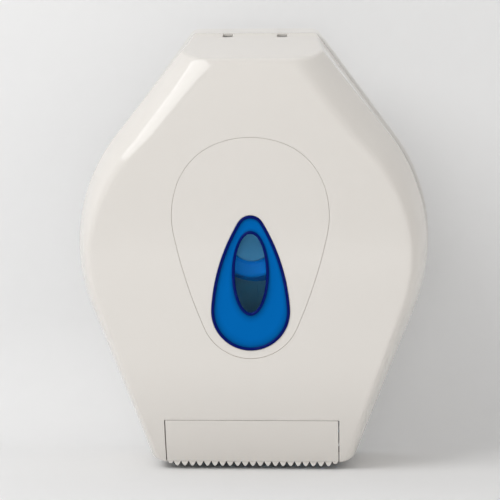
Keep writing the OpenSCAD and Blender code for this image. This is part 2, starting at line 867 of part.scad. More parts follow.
module sight_window() {
    color(window_blue) {
        difference() {
            union() {
                front_prism(window_line(0), depth - window_t, depth - 0.2);
                front_prism(window_line(window_lap), front_in - lap_t, front_in);
                front_prism(window_line(0), front_in - lap_t, depth - window_t + eps);
            }
            front_prism(window_line(-window_rim_w), front_in - 3, depth - window_t);
            front_prism(eye_line(0), depth - 0.8, depth + 1);
        }
        difference() {
            front_prism(window_line(0), depth - 0.3, depth + window_rim_h);
            front_prism(window_line(-window_rim_w), depth - 1, depth + window_rim_h + 1);
        }
        difference() {
            front_prism(eye_line(window_rim_w / 2), depth - window_t, depth + window_rim_h - 0.2);
            front_prism(eye_line(-window_rim_w / 2), depth - window_t - 1, depth + window_rim_h + 1);
        }
    }
}

retainer_t = 2;
retainer_lap = 4;
retainer_seat = front_in - 0.1;
retainer_screw_l = 3.4;

// The frame behind the panel: it bridges the parting line and carries the window's flange.
module panel_retainer() {
    color(inner_white)
    difference() {
        front_prism(panel_line(retainer_lap), retainer_seat - retainer_t, retainer_seat);
        front_prism(window_line(window_lap + 0.4), retainer_seat - retainer_t - 1, front_in + 1);
        retainer_screw_places() depth_rod(passing_r, retainer_seat - retainer_t - 1, front_in + 1, 24);
    }
}

module retainer_screw_places() {
    both_sides() {
        for (z = [panel_head_z + retainer_lap, (panel_head_z + panel_foot_z) / 2])
            translate([panel_foot_r + retainer_lap, 0, z])
            children();
    }
}

module retainer_screws() {
    color(steel)
    retainer_screw_places()
    mirror([0, 1, 0])
    pan_screw(screw_r, retainer_screw_l, -(retainer_seat - retainer_t - eps));
}

insert_head = -insert_top - panel_gap;
insert_foot = -bottom_h + 0.4;
flange_wall = 2.2;
flange_h = 15;
flange_d1 = front_at(insert_head) - wall_t - 1.2;
flange_d0 = flange_d1 - flange_wall;
flange_top = -insert_top + flange_h;
screw_z = -insert_top + flange_h * 3 / 5;
insert_screw_l = 5.5;
lip_h = 2.4;
lip_w = 7;
tooth_d = front_at(insert_foot) - 1.2;

// Side profile of the insert: it follows the front, turns in at its foot and steps back behind
// the front wall at its head.
function insert_profile() =
    let(steps = 8, rise = (insert_head - insert_foot) / steps)
    concat([for (i = [0:steps]) let(z = insert_head - i * rise) [-front_at(z), z]],
        [[lip_w - front_at(insert_foot), insert_foot], [lip_w - front_at(insert_foot), insert_foot + lip_h]],
        [for (i = [0:steps - 1]) let(z = insert_foot + lip_h + i * rise * 0.95) [insert_t - front_at(z), z]],
        [[-flange_d0, insert_head - 2.5], [-flange_d0, flange_top], [-flange_d1, flange_top],
            [-flange_d1, insert_head]]);

// The row of rounded teeth, with a sharp notch between each two, and a nub past each end.
module tooth_row() {
    points = 6;
    span = 2 * (insert_w - tooth_margin);
    wave = [for (i = [0:teeth * points])
        [-span / 2 + i * span / teeth / points, insert_foot - tooth_h * abs(sin(180 * i / points))]];
    both_sides()
    translate([insert_w - tooth_margin / 2 - 0.3, 0, insert_foot])
    depth_rod(tooth_margin / 2 - 0.4, tooth_d - tooth_t, tooth_d, 32);
    translate([0, -tooth_d + tooth_t, 0])
    rotate([90, 0, 0])
    linear_extrude(tooth_t)
    polygon(concat([[-span / 2, insert_foot + 1]], wave, [[span / 2, insert_foot + 1]]));
}

module tear_insert() {
    color(casing_white) {
        difference() {
            rotate([90, 0, 90])
            translate([0, 0, -insert_w])
            linear_extrude(2 * insert_w)
            polygon(insert_profile());
            insert_screw_places() depth_rod(small_passing_r, flange_d0 - 1, flange_d1 + 1, 24);
        }
        tooth_row();
    }
}

module insert_screws() {
    color(steel)
    insert_screw_places()
    mirror([0, 1, 0])
    pan_screw(small_screw_r, insert_screw_l, -(flange_d0 - eps));
}

back_plate();
spindle();
spindle_screws();
thrust_washer();
latch_housing();
latch_screws();
latch_spring_left();
latch_spring_right();
hinge_pin_left();
hinge_pin_right();
latch_slide();
core_hub();
hub_cap();
spindle_cap();
cap_screw();
cover_shell();
front_panel();
sight_window();
panel_retainer();
retainer_screws();
tear_insert();
insert_screws();
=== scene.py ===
# %% [markdown]
# # A jumbo toilet roll dispenser
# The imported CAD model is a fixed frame: a wall plate, a spindle with a turning hub, a sprung latch
# and a hinged cover. This lesson dresses that frame. Each visible moulding is worked out as a
# surface with numpy, finished with a modifier or two, and given a procedural material.

import bmesh
import bpy
import numpy as np
from mathutils import Matrix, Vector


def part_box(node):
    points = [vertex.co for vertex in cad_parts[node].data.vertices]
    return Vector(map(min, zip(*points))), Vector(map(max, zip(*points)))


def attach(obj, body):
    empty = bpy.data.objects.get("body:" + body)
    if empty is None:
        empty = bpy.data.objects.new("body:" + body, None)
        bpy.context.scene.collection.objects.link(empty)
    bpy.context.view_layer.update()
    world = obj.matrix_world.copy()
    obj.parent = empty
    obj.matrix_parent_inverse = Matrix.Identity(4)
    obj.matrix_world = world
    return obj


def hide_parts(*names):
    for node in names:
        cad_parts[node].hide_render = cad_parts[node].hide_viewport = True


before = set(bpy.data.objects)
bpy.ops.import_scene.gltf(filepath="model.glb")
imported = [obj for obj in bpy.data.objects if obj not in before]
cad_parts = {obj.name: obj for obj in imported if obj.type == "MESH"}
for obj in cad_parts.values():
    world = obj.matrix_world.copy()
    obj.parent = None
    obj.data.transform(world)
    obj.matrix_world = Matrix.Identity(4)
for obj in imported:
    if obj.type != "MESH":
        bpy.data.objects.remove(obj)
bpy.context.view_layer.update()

MM = 0.001

# %% [markdown]
# The camera comes first, because every later choice is judged through it. It was fitted to
# corners of the casing, so it is placed by its direction and distance. A long lens far away
# keeps the upright lines nearly parallel.

# %% The camera
LENS_MM, SENSOR_MM, EYE = 157.03, 36.0, np.array([101.5, -2204.7, 189.5])
TURN, TILT, TWIST = np.radians([2.81, 5.29, -0.22])


def make_camera():
    """Camera axes: forward, level right and upright, then right and upright turned by the twist."""
    forward = np.array([-np.sin(TURN) * np.cos(TILT), np.cos(TURN) * np.cos(TILT), -np.sin(TILT)])
    right = np.array([np.cos(TURN), np.sin(TURN), 0.0])
    upright = np.cross(right, forward)
    across = np.cos(TWIST) * right + np.sin(TWIST) * upright
    above = np.cos(TWIST) * upright - np.sin(TWIST) * right
    data = bpy.data.cameras.new("camera")
    data.lens, data.sensor_width = LENS_MM, SENSOR_MM
    data.clip_start, data.clip_end = 0.1, 50.0
    camera = bpy.data.objects.new("camera", data)
    bpy.context.scene.collection.objects.link(camera)
    columns = np.column_stack([across, above, -forward, EYE * MM])
    camera.matrix_world = Matrix(np.vstack([columns, [0, 0, 0, 1]]).tolist())
    bpy.context.scene.camera = camera
    return camera


print("camera at", [round(v, 3) for v in make_camera().location])

# %% [markdown]
# Every piece below is a grid of points with quads between them. Two helpers do that work: one
# numbers the faces of a grid, the other turns points in millimetres into a mesh. Depth is
# measured from the wall towards the front, so it becomes minus Y.

# %% Grids and meshes
MERGE_MM, SHARP_ANGLE, BEVEL_ANGLE = 0.004, 38.0, 40.0


def grid_faces(rows, columns, wrap_rows=False, wrap_columns=False):
    """Quads of a grid: each cell joins row i, i+1 with column j, j+1, wrapping where asked."""
    i = np.arange(rows if wrap_rows else rows - 1)[:, None]
    j = np.arange(columns if wrap_columns else columns - 1)[None, :]
    below, beside = (i + 1) % rows, (j + 1) % columns
    quads = [i * columns + j, i * columns + beside, below * columns + beside, below * columns + j]
    return np.stack([np.broadcast_to(q, np.broadcast(i, j).shape) for q in quads], -1).reshape(-1, 4)


def to_frame(x, depth, z):
    """Points in the frame: x, minus depth, z, as one array of rows."""
    x, depth, z = np.broadcast_arrays(x, depth, z)
    return np.stack([x, -depth, z], -1).astype(float)


def make_piece(name, points, faces, sharp=SHARP_ANGLE):
    """A mesh object from points in millimetres, its doubles merged and its faces smooth."""
    mesh = bpy.data.meshes.new(name)
    places = (np.asarray(points).reshape(-1, 3) * MM).tolist()
    mesh.from_pydata(places, [], [list(face) for face in faces])
    work = bmesh.new()
    work.from_mesh(mesh)
    bmesh.ops.remove_doubles(work, verts=work.verts, dist=MERGE_MM * MM)
    bmesh.ops.dissolve_degenerate(work, edges=work.edges, dist=MERGE_MM * MM)
    work.to_mesh(mesh)
    work.free()
    mesh.polygons.foreach_set("use_smooth", np.ones(len(mesh.polygons), bool))
    mesh.set_sharp_from_angle(angle=np.radians(sharp))
    piece = bpy.data.objects.new(name, mesh)
    bpy.context.scene.collection.objects.link(piece)
    print(f"{name}: {len(mesh.polygons)} faces")
    return piece


def outward(piece):
    """Recalculates the normals of a closed piece, so they all point out of it."""
    work = bmesh.new()
    work.from_mesh(piece.data)
    bmesh.ops.recalc_face_normals(work, faces=work.faces)
    work.to_mesh(piece.data)
    work.free()
    return piece


def add_bevel(piece, width, segments=2):
    """Rounds the piece's sharp edges, by a width in millimetres."""
    bevel = piece.modifiers.new("edges", "BEVEL")
    bevel.width, bevel.segments = width * MM, segments
    bevel.limit_method, bevel.angle_limit = "ANGLE", np.radians(BEVEL_ANGLE)


# %% [markdown]
# The casing is drawn from a handful of sizes: round sides of 170 mm radius, straight shoulders
# and skirts that touch them, and a front that leans back at its top and foot. These are the
# sizes of the CAD model, so the dressed skin lies exactly where the solid is.

# %% Sizes of the casing
SIDE_R, SIDE_FLARE = 170.0, 1.0
SHOULDER_LEAN, REAR_LEAN, SKIRT_LEAN, TOP_FALL = np.radians([38.4, 36.5, 21.7, 13.0])
TOP_H, BOTTOM_H, DEPTH, EDGE_D, WALL_T = 187.0, 214.0, 130.0, 84.0, 2.6
CORNER_R, TOP_EDGE_R, COVER_REAR = 6.0, 7.0, 8.4
LEAST_ROLL_D, START_LIMIT = 6, 0.6
FLAT_TOP, LEAN_TOP, FLAT_BOTTOM, LEAN_BOTTOM = 109.0, 12.0, 112.0, 32.0
SHOULDER_Z = SIDE_R * np.sin(SHOULDER_LEAN)
ROLL = ([-BOTTOM_H, -60.0, 0.0, SHOULDER_Z], [9.0, 15.0, 18.0, 32.0])
START_TURN = ([-60.0, 0.0, SHOULDER_Z], [8.0, 9.0, 20.0])


def quad_curve(a, b, c, t):
    """A curve from a towards b that ends at c: (1-t)^2 a + 2t(1-t) b + t^2 c."""
    return (1 - t) ** 2 * a + 2 * t * (1 - t) * b + t**2 * c


def half_width(z, r, lean):
    """Half the casing's width: a straight shoulder, a circle of radius r, a straight skirt."""
    shoulder = (r - z * np.sin(lean)) / np.cos(lean)
    skirt = (r + z * np.sin(SKIRT_LEAN)) / np.cos(SKIRT_LEAN)
    side = np.sqrt(np.maximum(r * r - z * z, 0))
    return np.where(z > r * np.sin(lean), shoulder, np.where(z < -r * np.sin(SKIRT_LEAN), skirt, side))


def side_share(z):
    """Sideways part of the outline's normal: the cosine of its lean, or of the circle's angle."""
    round_side = np.sqrt(np.maximum(1 - (z / SIDE_R) ** 2, 0))
    skirt = z < -SIDE_R * np.sin(SKIRT_LEAN)
    return np.where(z > SHOULDER_Z, np.cos(SHOULDER_LEAN), np.where(skirt, np.cos(SKIRT_LEAN), round_side))


def front_at(z):
    """Depth of the front: flat in the middle, leaning back with the square of the height past it."""
    top = LEAN_TOP * (np.maximum(z - FLAT_TOP, 0) / (TOP_H - FLAT_TOP)) ** 2
    foot = LEAN_BOTTOM * (np.maximum(-z - FLAT_BOTTOM, 0) / (BOTTOM_H - FLAT_BOTTOM)) ** 2
    return DEPTH - top - foot


def section(z, s):
    """Half width and depth of the skin at height z: s goes from 0 to 1 up the straight wall,
    and from 1 to 2 over the roll, a quad curve that ends flat on the front."""
    rise = np.clip(CORNER_R - (z + BOTTOM_H), 0, CORNER_R)
    cut = CORNER_R - np.sqrt(CORNER_R**2 - rise**2)
    edge_x = half_width(z, SIDE_R, SHOULDER_LEAN) - cut
    rear_x = half_width(z, SIDE_R + SIDE_FLARE, REAR_LEAN) - cut
    front = front_at(z)
    edge_d = np.minimum(EDGE_D, front - LEAST_ROLL_D)
    roll = np.interp(z, *ROLL) / side_share(z)
    start = (front - edge_d) * np.tan(np.radians(np.interp(z, *START_TURN))) / side_share(z)
    wall, t = np.clip(s, 0, 1), np.clip(s - 1, 0, 1)
    start = np.minimum(start, START_LIMIT * roll)
    x = rear_x + (edge_x - rear_x) * wall - quad_curve(0, start, roll, t)
    depth = COVER_REAR + (edge_d - COVER_REAR) * wall + quad_curve(edge_d, front, front, t) - edge_d
    return x, depth


print("half width at the axis:", section(np.array(0.0), 1.0)[0])

# %% [markdown]
# The top face slopes down to the front and rolls over into it. Its side profile is a straight
# line and one short curve. Each row of the skin has to know where it meets that profile, so the
# profile is tabled once against the roll's own parameter.

# %% The top's side profile
def top_profile(steps=24):
    """Depth and height from the main edge to the front: the slope, then the rounded crest."""
    slope = np.tan(TOP_FALL)
    crest = TOP_H - slope * (DEPTH - EDGE_D)
    for _ in range(5):
        crest = TOP_H - slope * (front_at(crest) - EDGE_D)
    t = np.linspace(0, 1, steps)
    d_curve = quad_curve(front_at(crest) - TOP_EDGE_R * np.cos(TOP_FALL), front_at(crest),
                         front_at(crest - TOP_EDGE_R), t)
    z_curve = quad_curve(crest + TOP_EDGE_R * np.sin(TOP_FALL), crest, crest - TOP_EDGE_R, t)
    d_slope = np.linspace(EDGE_D, d_curve[0], steps)[:-1]
    return np.append(d_slope, d_curve), np.append(TOP_H - slope * (d_slope - EDGE_D), z_curve)


profile_d, profile_z = top_profile()
profile_t = 1 - np.sqrt((front_at(profile_z) - profile_d) / (front_at(profile_z) - EDGE_D))


def top_height(s):
    """Height where row s meets the top: on the slope up the wall, on the profile over the roll."""
    on_wall = TOP_H - np.tan(TOP_FALL) * (COVER_REAR + (EDGE_D - COVER_REAR) * s - EDGE_D)
    return np.where(s < 1, on_wall, np.interp(s - 1, profile_t, profile_z))


print("top of the front:", round(float(top_height(np.array(2.0))), 2), "mm")

# %% [markdown]
# The hood of the cover is one injection moulding. It could be a box with bevels, but its roll
# changes width all the way round. So it is one grid: rows go from the wall over the main edge
# to the front, and columns go from the foot up the side, round the shoulder and along the top.

# %% The hood's grid
KEY_X, KEY_D = (22.2, 32.2), (11.0, 25.0)
FOOT_HALF = float(half_width(-BOTTOM_H, SIDE_R, SHOULDER_LEAN))
INSERT_W = FOOT_HALF - 13.8
EXIT_W = INSERT_W - 5
SIDE_TOP_Z, SOFT_REAR, SOFT_GROWTH = 118.0, 2.5, 5.0
# A row this share of the way from an open edge keeps the shading tight beside it.
EDGE_ROW = 0.012


def hood_rows():
    """Row values: the key slots' edges, even steps, and close steps beside the main edge."""
    slots = (np.array(KEY_D) - COVER_REAR) / (EDGE_D - COVER_REAR)
    wall = np.concatenate([[0, EDGE_ROW], slots, [0.11, 0.3, 0.4, 0.5, 0.6, 0.7, 0.8, 0.9, 0.965, 1.0]])
    return np.concatenate([np.sort(wall), 1 + np.array([0.035]), 1 + np.linspace(0.1, 1, 16)])


def hood_half(s):
    """The right half: columns of x, depth and z, each for every row s. The spans are the foot,
    the side with its lower corner, the shoulder, a soft bend and the top as far as the middle."""
    s = s[:, None]
    foot_x, foot_d = section(np.array(-BOTTOM_H), s)
    share = np.linspace(0, 1, 5)[:-1]
    foot = EXIT_W + (foot_x - EXIT_W) * share, foot_d + 0 * share, -BOTTOM_H + 0 * (s * share)
    corner = -BOTTOM_H + CORNER_R * (1 - np.cos(np.radians(np.arange(0, 90, 10))))
    z = np.concatenate([corner, np.linspace(CORNER_R - BOTTOM_H, SIDE_TOP_Z, 64)])[None, :]
    side = *section(z, s), z + 0 * s
    top_z, soft = top_height(s), SOFT_REAR + SOFT_GROWTH * np.clip(s - 1, 0, 1)
    shoulder_end = top_z - soft * np.cos(SHOULDER_LEAN)
    stretch = SIDE_TOP_Z + (shoulder_end - SIDE_TOP_Z) * np.linspace(0, 1, 14)[1:]
    shoulder = *section(stretch, s), stretch
    tip_x, tip_d = section(top_z, s)
    t = np.linspace(0, 1, 9)[1:]
    bend = [quad_curve(a, b, c, t) for a, b, c in zip(
        [v[:, -1:] for v in shoulder], (tip_x, tip_d, top_z), (tip_x - soft, tip_d, top_z))]
    flat_x, shrink = tip_x - soft, np.minimum((tip_x - soft) / (tip_x - soft)[s[:, 0] == 1.0], 1)
    shrink = np.where(s <= 1, 1, shrink)
    knots = [flat_x, KEY_X[1] * shrink, KEY_X[0] * shrink, 0 * shrink]
    spans = [a + (b - a) * np.linspace(0, 1, n + 1)[1:]
             for a, b, n in zip(knots, knots[1:], (4, 2, 4))]
    along = np.concatenate(spans, 1)
    top = along, tip_d + 0 * along, top_z + 0 * along
    parts = [foot, side, shoulder, bend, top]
    return [np.concatenate([np.broadcast_to(part[k], (len(s), part[0].shape[1])) for part in parts], 1)
            for k in range(3)]


rows_s = hood_rows()
right_x, right_d, right_z = hood_half(rows_s)
hood_x, hood_d, hood_z = [np.concatenate([v, sign * v[:, -2::-1]], 1)
                          for v, sign in ((right_x, -1), (right_d, 1), (right_z, 1))]
# The last row lies on the front exactly, so that no crease shows where the front face joins it.
hood_d[-1] = front_at(hood_z[-1])
hood_points = to_frame(hood_x, hood_d, hood_z)
print("hood grid:", hood_points.shape)

# %% [markdown]
# The panel opening and the window are egg shapes: two circles joined by flanks of a large
# radius. The same outlines serve the opening, the panel and the window, each grown or shrunk a
# little. To join two outlines, both are read at the same angles about a middle point.

# %% Egg outlines
def egg(z1, r1, z2, r2, flank, grow=0.0, square=0.0, steps=40):
    """Right half: an arc of r1 about z1, a flank arc, an arc of r2 about z2, all moved out by
    grow. The head's radius swells by square times sin(2q)^2. The left half is its mirror."""
    way = 1.0 if z1 > z2 else -1.0
    a, b, gap = flank - r1, flank - r2, abs(z1 - z2)
    t = (a * a - b * b + gap * gap) / (2 * gap)
    cx, cz = -np.sqrt(a * a - t * t), z1 - way * t
    a1, a2 = np.arctan2(z1 - cz, -cx), np.arctan2(z2 - cz, -cx)
    q = np.linspace(way * np.pi / 2, a1, steps)
    r = r1 * np.where(q * way > 0, 1 + square * np.sin(2 * q) ** 2, 1) + grow
    head = np.stack([r * np.cos(q), z1 + r * np.sin(q)])
    q = np.linspace(a1, a2, steps // 2)[1:]
    side = np.stack([cx + (flank + grow) * np.cos(q), cz + (flank + grow) * np.sin(q)])
    q = np.linspace(a2, -way * np.pi / 2, steps)[1:]
    tail = np.stack([(r2 + grow) * np.cos(q), z2 + (r2 + grow) * np.sin(q)])
    right = np.concatenate([head, side, tail], 1)
    return np.concatenate([right, right[:, -2:0:-1] * [[-1], [1]]], 1)


PANEL_EGG, PANEL_SQUARE = (29.2, 75.4, -59.2, 48.3, 470.0), 0.028
WINDOW_EGG = (-62.0, 37.7, 16.8, 13.4, 185.0)


def panel_line(grow):
    return egg(*PANEL_EGG, grow, PANEL_SQUARE)


def window_line(grow):
    return egg(*WINDOW_EGG, grow)


def read_at(outline, angles, middle):
    """Points of a closed outline at the given angles about (0, middle)."""
    about = np.arctan2(outline[1] - middle, outline[0])
    radius = np.hypot(outline[0], outline[1] - middle)
    order = np.argsort(about)
    r = np.interp(angles, about[order], radius[order], period=2 * np.pi)
    return np.stack([r * np.cos(angles), middle + r * np.sin(angles)])


print("panel width:", round(2 * float(panel_line(0)[0].max()), 1), "mm")

# %% [markdown]
# The front face fills the space between the hood's last row and the panel opening. Both rings
# are read at the same angles, and straight lines join them, so the two grids share their points
# and merge into one skin. The foot is then cut out for the tear insert, the rear foot for the
# hinge, and the two key slots are opened in the top.

# %% The cover's skin
PANEL_GAP, INSERT_GAP, INSERT_TOP = 0.35, 0.9, 169.4
FRONT_MIDDLE, EAR_X, HINGE_CUT_D = -20.0, 87.48, 26.5
CUT_REACH, SKIN_ROUND = 12, 0.2


def front_patch():
    """From the opening to the hood's last row: straight lines at equal angles, on the front."""
    across = np.linspace(-EXIT_W, EXIT_W, 26)[1:-1]
    ring_x = np.append(hood_x[-1], across)
    ring_z = np.append(hood_z[-1], 0 * across - BOTTOM_H)
    angles = np.arctan2(ring_z - FRONT_MIDDLE, ring_x)
    inner = read_at(panel_line(PANEL_GAP), angles, FRONT_MIDDLE)
    part = np.append([0, EDGE_ROW], np.linspace(0.05, 1, 22))[:, None]
    x, z = inner[0] + (ring_x - inner[0]) * part, inner[1] + (ring_z - inner[1]) * part
    return to_frame(x, front_at(z), z)


def cut_away(piece, lows, highs, reach):
    """Cuts the mesh along a box's side planes and deletes what is inside the box. Only faces
    within reach of the box are cut. Corners are in the frame, in millimetres."""
    lows, highs = np.array(lows) * MM, np.array(highs) * MM
    work = bmesh.new()
    work.from_mesh(piece.data)

    def inside(extra):
        middles = np.array([f.calc_center_median() for f in work.faces])
        held = ((middles > lows - extra) & (middles < highs + extra)).all(1)
        return [f for f, kept in zip(work.faces, held) if kept]

    for axis in range(3):
        for place in (lows[axis], highs[axis]):
            near = inside(reach * MM)
            ring = {e for f in near for e in f.edges} | {v for f in near for v in f.verts}
            point, normal = np.zeros(3), np.zeros(3)
            point[axis], normal[axis] = place, 1
            bmesh.ops.bisect_plane(work, geom=near + list(ring), dist=1e-7,
                                   plane_co=point, plane_no=normal)
    gone = inside(0)
    bmesh.ops.delete(work, geom=gone, context="FACES")
    work.to_mesh(piece.data)
    work.free()
    return len(gone)


front_points = front_patch()
hood_faces = grid_faces(*hood_points.shape[:2])
front_faces = grid_faces(*front_points.shape[:2], wrap_columns=True)[:, ::-1] + hood_points[..., 0].size
both_grids = np.concatenate([hood_points.reshape(-1, 3), front_points.reshape(-1, 3)])
skin = make_piece("cover_skin", both_grids, np.concatenate([hood_faces, front_faces]), sharp=60)
side_cut = INSERT_W + INSERT_GAP
cuts = [([-side_cut, -160, -230], [side_cut, -60, -INSERT_TOP]),
        ([-EAR_X, -HINGE_CUT_D, -230], [EAR_X, 0, -208])]
cuts += [([a, -KEY_D[1], 190], [b, -KEY_D[0], 220]) for a, b in (KEY_X, (-KEY_X[1], -KEY_X[0]))]
print("faces cut away:", [cut_away(skin, *cut, reach=CUT_REACH) for cut in cuts])
# The grid's faces point outwards, so the wall grows inwards from the outer surface.
solid = skin.modifiers.new("wall", "SOLIDIFY")
solid.thickness, solid.offset, solid.use_even_offset = WALL_T * MM, -1, True
solid.material_offset_rim = 1
add_bevel(skin, SKIN_ROUND)
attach(skin, "cover")
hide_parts("cover_shell")

# %% [markdown]
# Behind the skin sit the fittings that are moulded with it: ears for the hinge, keepers for the
# latch and cheeks beside the insert. They are blocks and short tubes, so a block is a grid of
# eight corners with rounded edges, and a tube is a profile turned about its axis.

# %% Blocks and turned parts
def block(name, lows, highs, round_by=0.4):
    """A box between two corners (x, depth, z), its edges rounded by a bevel."""
    pick = np.array([[i, j, k] for i in (0, 1) for j in (0, 1) for k in (0, 1)])
    corners = np.where(pick, highs, lows)
    faces = [[0, 1, 3, 2], [4, 6, 7, 5], [0, 4, 5, 1], [2, 3, 7, 6], [0, 2, 6, 4], [1, 5, 7, 3]]
    piece = outward(make_piece(name, to_frame(*corners.T), faces))
    add_bevel(piece, round_by)
    return piece


def turned(name, profile, axis_point, along=1, sides=64, round_by=0.0):
    """A closed profile of (radius, distance) pairs turned about an axis: x (0) or depth (1)."""
    radius, distance = np.array(profile, float).T
    q = np.linspace(0, 2 * np.pi, sides, endpoint=False)
    u, v = radius[:, None] * np.cos(q), radius[:, None] * np.sin(q)
    w = np.broadcast_to(distance[:, None], u.shape)
    x, depth, z = (w, u, v) if along == 0 else (u, w, v)
    points = to_frame(x + axis_point[0], depth + axis_point[1], z + axis_point[2])
    faces = grid_faces(*u.shape, wrap_rows=True, wrap_columns=True)
    piece = outward(make_piece(name, points, faces))
    if round_by:
        add_bevel(piece, round_by)
    return piece


def join(name, pieces):
    """One object from several, their modifiers applied first."""
    depsgraph = bpy.context.evaluated_depsgraph_get()
    work = bmesh.new()
    for piece in pieces:
        done = piece.evaluated_get(depsgraph).to_mesh()
        work.from_mesh(done)
    mesh = bpy.data.meshes.new(name)
    work.to_mesh(mesh)
    work.free()
    for piece in pieces:
        bpy.data.objects.remove(piece)
    whole = bpy.data.objects.new(name, mesh)
    bpy.context.scene.collection.objects.link(whole)
    return whole


# %% The cover's fittings
HINGE_Z, HINGE_D, KNUCKLE_R, PIN_R = -205.0, 14.5, 6.0, 2.0
KEEPER_X, HOOK_X, KEEPER_FOOT, KEEPER_TOP, HOOK_D = 33.2, 37.0, 190.3, 201.5, 12.1
EAR_T, ARM_HALF, ARM_END, PIN_FIT, CHEEK_D = 5, 5, 22, 0.06, (60, 94)


def cover_fittings():
    """Both sides' ears, keepers and cheeks, each a block or a turned tube."""
    made = []
    low, high, end = HINGE_Z - ARM_HALF, HINGE_Z + ARM_HALF, HINGE_D + ARM_END
    for side in (-1, 1):
        def pair(a, b, side=side):
            return sorted((side * a, side * b))
        ear = pair(EAR_X, EAR_X + EAR_T)
        bore = PIN_R + PIN_FIT
        ring = [(bore, 0), (KNUCKLE_R, 0), (KNUCKLE_R, side * EAR_T), (bore, side * EAR_T)]
        made.append(turned("knuckle", ring, (side * EAR_X, HINGE_D, HINGE_Z), along=0, sides=48,
                           round_by=0.3))
        made.append(block("arm", (ear[0], HINGE_D + 4, low), (ear[1], end, high)))
        wall = pair(EAR_X, FOOT_HALF + 0.5)
        made.append(block("foot", (wall[0], HINGE_D + 8, low), (wall[1], end, high)))
        cheek = pair(side_cut, side_cut + 2)
        made.append(block("cheek", (cheek[0], CHEEK_D[0], 1.2 - BOTTOM_H),
                          (cheek[1], CHEEK_D[1], 4 - INSERT_TOP)))
        keep = pair(KEEPER_X, HOOK_X)
        made.append(block("keeper", (keep[0], COVER_REAR + 1, KEEPER_FOOT),
                          (keep[1], HOOK_D, KEEPER_TOP)))
    return join("cover_fittings", made)


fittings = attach(cover_fittings(), "cover")
print("fittings:", len(fittings.data.polygons), "faces")

# %% [markdown]
# The front panel is a separate pear-shaped plate, held from behind, with a hair-thin parting
# line round it. Its cross-section is a closed loop of rows between the window's outline and the
# panel's outline. The rounded edges matter most: they catch the light beside the parting line.

# %% The front panel
ANGLES = np.linspace(-np.pi, np.pi, 240, endpoint=False)
FRONT_IN, PANEL_MIDDLE = DEPTH - WALL_T, -30.0
PANEL_IN, WINDOW_OUT, PANEL_ROUND = 0.15, 0.2, 0.3


def round_edge(radius, steps=4):
    """A quarter turn for an edge: how far the row is set in, and how far it is set back."""
    q = np.linspace(0, np.pi / 2, steps)
    return radius * (1 - np.sin(q)), radius * (1 - np.cos(q))


def plate_between(name, inner, outer, middle, back, front, radius, face_rows=10):
    """A plate with a hole: rows go up the hole's edge, out over the face, down the rim and home.
    inner and outer give an outline for a growth; each row is an outline at a depth."""
    set_in, set_back = round_edge(radius)
    hole_rows = [(inner, 0.0, back)]
    hole_rows += [(inner, radius - a, front - b) for a, b in zip(set_in, set_back[::-1])]
    rim_edge = [(outer, a - radius, front - b) for a, b in zip(set_in[::-1], set_back)]
    loops, rim = [[np.stack([*read_at(line(g), ANGLES, middle), 0 * ANGLES + d]) for line, g, d in rows]
                  for rows in (hole_rows, rim_edge + [(outer, 0.0, back)])]
    part = np.linspace(0, 1, face_rows)[1:-1, None, None]
    face = list(loops[-1] + (rim[0] - loops[-1]) * part)
    x, z, depth = np.stack(loops + face + rim).transpose(1, 0, 2)
    faces = grid_faces(*x.shape, wrap_rows=True, wrap_columns=True)
    return outward(make_piece(name, to_frame(x, depth, z), faces))


panel = plate_between("front_cover_panel", lambda g: window_line(WINDOW_OUT + g),
                      lambda g: panel_line(PANEL_IN + g), PANEL_MIDDLE, FRONT_IN, DEPTH, PANEL_ROUND)
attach(panel, "cover")
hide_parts("front_panel")

# %% [markdown]
# The sight window is one blue moulding with two raised rims: one along its teardrop edge and
# one round an ellipse. Between them the face is frosted and dished by about a millimetre.
# It is a loft: a list of rows, each an outline, a growth and a depth, read at equal angles.

# %% The sight window
EYE_W, EYE_H, EYE_Z = 16.4, 39.4, -25.4
WINDOW_T, RIM_W, RIM_H, CROWN, DISH = 2.4, 2.7, 1.2, 0.8, 1.3
FACE_SINK, EYE_RIM_SINK, LENS_SINK, LENS_DOME, LENS_T = 0.2, 0.2, 0.9, 0.5, 1.2


def eye_line(grow):
    """The ellipse, moved out by grow."""
    q = np.linspace(-np.pi, np.pi, 240, endpoint=False)
    return np.stack([(EYE_W + grow) * np.cos(q), EYE_Z + (EYE_H + grow) * np.sin(q)])


def loft(rows, middle):
    """Rows of (outline, growth, depth), each read at the same angles about the middle."""
    rings = [read_at(line(grow), ANGLES, middle) for line, grow, _ in rows]
    depth = np.array([row[2] for row in rows])[:, None]
    return np.stack([r[0] for r in rings]), depth + 0 * rings[0][0], np.stack([r[1] for r in rings])


def rim_rows(line, outer, inner, foot, top):
    """A raised rim: a half-round of rows from its outer foot over its top to its inner foot."""
    q = np.linspace(0, np.pi, 9)
    middle, reach = (outer + inner) / 2, (outer - inner) / 2
    crown = [(line, middle + reach * np.cos(a), top - CROWN + CROWN * np.sin(a)) for a in q]
    return [(line, outer, foot)] + crown + [(line, inner, foot)]


